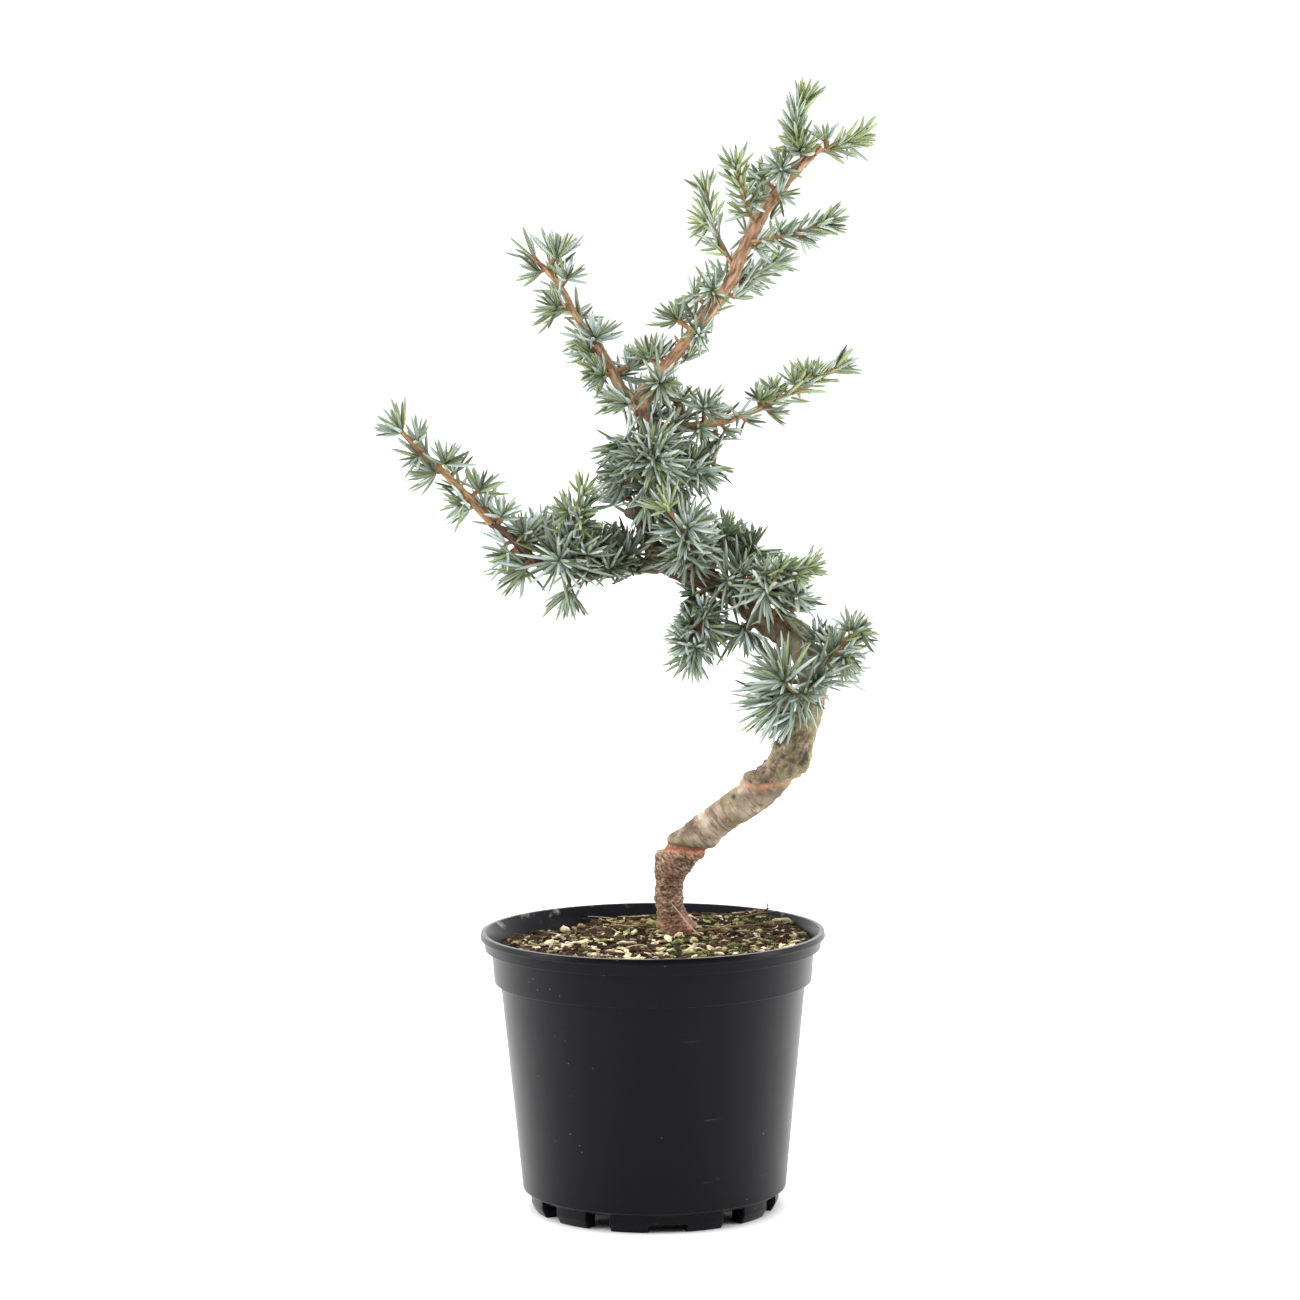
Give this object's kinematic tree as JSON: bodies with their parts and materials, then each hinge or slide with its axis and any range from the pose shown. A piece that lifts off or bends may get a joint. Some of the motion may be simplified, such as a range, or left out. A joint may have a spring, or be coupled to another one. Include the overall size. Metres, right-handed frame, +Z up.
{
  "type": "potted cedar bonsai",
  "caption": "Young blue cedar trained as a bonsai with a winding trunk, short boughs and needle rosettes, growing in a black nursery pot with a castellated foot.",
  "frame": {"origin": "centre of the flat pad under the pot, on the plane that the pot stands on", "axes": "+Z up along the pot's axis, +X to the right and +Y to the back, seen from the side the crown is shown from"},
  "size_m": [0.2463, 0.1698, 0.5539],
  "materials": {
    "pot_plastic": "black satin polypropylene with fine scuffs and dust",
    "potting_mix": "dark peat with tan bark chips, pale grit, moss and fibres",
    "bark": "grey-brown flaking bark, orange-brown on the young wood",
    "needles": "blue-green waxy needles, fresher green at the shoot tips"
  },
  "bodies": {
    "root": {"front_shoot": "needles", "hanging_shoot": "needles", "leader_shoot_1": "needles", "leader_shoot_2": "needles", "leader_shoot_3": "needles", "leader_shoot_4": "needles", "leader_shoot_5": "needles", "leader_tip_shoot": "needles", "left_bough": "bark", "left_bough_needles_1": "needles", "left_bough_needles_2": "needles", "left_bough_needles_3": "needles", "left_bough_needles_4": "needles", "left_bough_needles_5": "needles", "left_bough_needles_6": "needles", "left_bough_needles_7": "needles", "left_bough_needles_8": "needles", "left_shoot": "needles", "left_upright_shoot": "needles", "low_left_shoot": "needles", "low_right_shoot": "needles", "lower_front_shoot": "needles", "middle_right_shoot": "needles", "pot": "pot_plastic", "right_bough": "bark", "right_bough_needles_1": "needles", "right_bough_needles_2": "needles", "right_bough_needles_3": "needles", "right_shoot": "needles", "soil": "potting_mix", "trunk": "bark", "trunk_needles_1": "needles", "trunk_needles_10": "needles", "trunk_needles_11": "needles", "trunk_needles_12": "needles", "trunk_needles_13": "needles", "trunk_needles_14": "needles", "trunk_needles_15": "needles", "trunk_needles_16": "needles", "trunk_needles_17": "needles", "trunk_needles_18": "needles", "trunk_needles_19": "needles", "trunk_needles_2": "needles", "trunk_needles_20": "needles", "trunk_needles_21": "needles", "trunk_needles_22": "needles", "trunk_needles_3": "needles", "trunk_needles_4": "needles", "trunk_needles_5": "needles", "trunk_needles_6": "needles", "trunk_needles_7": "needles", "trunk_needles_8": "needles", "trunk_needles_9": "needles", "trunk_stub": "bark", "upper_left_bough": "bark", "upper_left_bough_needles_1": "needles", "upper_left_bough_needles_2": "needles", "upper_left_bough_needles_3": "needles", "upper_left_bough_needles_4": "needles", "upper_left_shoot": "needles"}
  },
  "joints": []
}
